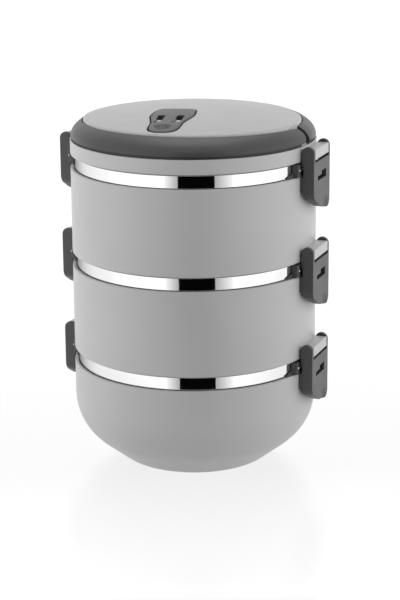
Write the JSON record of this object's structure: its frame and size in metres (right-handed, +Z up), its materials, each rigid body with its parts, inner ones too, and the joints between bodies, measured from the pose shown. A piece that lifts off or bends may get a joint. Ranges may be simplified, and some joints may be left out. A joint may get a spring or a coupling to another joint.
{
  "type": "tiffin carrier",
  "caption": "Round insulated tiffin carrier: stacked plastic-clad steel bowls with side latches, a domed lid with a folding ring handle and a steam vent flap.",
  "frame": {"origin": "centre of the flat foot, at the level that the carrier stands on", "axes": "+Z up the stack; latches on +X and -X; the handle's grip and the vent flap's thumb end point to -Y"},
  "size_m": [0.1534, 0.14, 0.2043],
  "materials": {
    "shell_plastic": "light grey satin moulded plastic",
    "dark_plastic": "dark grey fine-grained moulded plastic",
    "polished_steel": "mirror-polished stainless steel",
    "steel_pin": "bright drawn steel pin",
    "liner_plastic": "off-white moulded plastic",
    "silicone": "translucent grey silicone"
  },
  "bodies": {
    "tier_1": {"outer_shell_1": "shell_plastic", "steel_bowl_1": "polished_steel", "catch_bracket_low_right": "dark_plastic", "catch_pin_low_right": "steel_pin", "catch_bracket_low_left": "dark_plastic", "catch_pin_low_left": "steel_pin"},
    "tier_2": {"outer_shell_2": "shell_plastic", "steel_bowl_2": "polished_steel", "base_cover_2": "liner_plastic", "seal_ring_2": "silicone", "hinge_pin_low_right": "steel_pin", "hinge_pin_low_left": "steel_pin", "catch_bracket_mid_right": "dark_plastic", "catch_pin_mid_right": "steel_pin", "catch_bracket_mid_left": "dark_plastic", "catch_pin_mid_left": "steel_pin"},
    "tier_3": {"outer_shell_3": "shell_plastic", "steel_bowl_3": "polished_steel", "base_cover_3": "liner_plastic", "seal_ring_3": "silicone", "hinge_pin_mid_right": "steel_pin", "hinge_pin_mid_left": "steel_pin", "catch_bracket_top_right": "dark_plastic", "catch_pin_top_right": "steel_pin", "catch_bracket_top_left": "dark_plastic", "catch_pin_top_left": "steel_pin"},
    "lid": {"lid_shell": "shell_plastic", "lid_liner": "liner_plastic", "seal_ring_lid": "silicone", "rear_rim": "dark_plastic", "handle_pin_right": "steel_pin", "handle_pin_left": "steel_pin", "vent_hinge_pin": "steel_pin", "hinge_pin_top_right": "steel_pin", "hinge_pin_top_left": "steel_pin"},
    "latch_low_right": {"latch_low_right": "dark_plastic"},
    "latch_low_left": {"latch_low_left": "dark_plastic"},
    "latch_mid_right": {"latch_mid_right": "dark_plastic"},
    "latch_mid_left": {"latch_mid_left": "dark_plastic"},
    "latch_top_right": {"latch_top_right": "dark_plastic"},
    "latch_top_left": {"latch_top_left": "dark_plastic"},
    "handle": {"handle": "dark_plastic"},
    "vent": {"vent_flap": "dark_plastic", "vent_plug": "silicone"}
  },
  "joints": [
    {"name": "lift_tier_2", "type": "slide", "parent": "tier_1", "child": "tier_2", "axis": [0, 0, 1], "range_m": [0, 0.06]},
    {"name": "lift_tier_3", "type": "slide", "parent": "tier_2", "child": "tier_3", "axis": [0, 0, 1], "range_m": [0, 0.06]},
    {"name": "lift_lid", "type": "slide", "parent": "tier_3", "child": "lid", "axis": [0, 0, 1], "range_m": [0, 0.06]},
    {"name": "latch_low_right_hinge", "type": "hinge", "parent": "tier_2", "child": "latch_low_right", "pos_m": [0.0731, 0, 0.0724], "axis": [0, -1, 0], "range_deg": [0, 110]},
    {"name": "latch_low_left_hinge", "type": "hinge", "parent": "tier_2", "child": "latch_low_left", "pos_m": [-0.0731, 0, 0.0724], "axis": [0, 1, 0], "range_deg": [0, 110]},
    {"name": "latch_mid_right_hinge", "type": "hinge", "parent": "tier_3", "child": "latch_mid_right", "pos_m": [0.0731, 0, 0.12915], "axis": [0, -1, 0], "range_deg": [0, 110]},
    {"name": "latch_mid_left_hinge", "type": "hinge", "parent": "tier_3", "child": "latch_mid_left", "pos_m": [-0.0731, 0, 0.12915], "axis": [0, 1, 0], "range_deg": [0, 110]},
    {"name": "latch_top_right_hinge", "type": "hinge", "parent": "lid", "child": "latch_top_right", "pos_m": [0.0731, 0, 0.1859], "axis": [0, -1, 0], "range_deg": [0, 110]},
    {"name": "latch_top_left_hinge", "type": "hinge", "parent": "lid", "child": "latch_top_left", "pos_m": [-0.0731, 0, 0.1859], "axis": [0, 1, 0], "range_deg": [0, 110]},
    {"name": "handle_fold", "type": "hinge", "parent": "lid", "child": "handle", "pos_m": [0, -0.0099, 0.1944], "axis": [-1, 0, 0], "range_deg": [0, 90]},
    {"name": "vent_lift", "type": "hinge", "parent": "lid", "child": "vent", "pos_m": [-0.00879, -0.00181, 0.2024], "axis": [-0.9781, -0.2079, 0], "range_deg": [0, 55]}
  ]
}
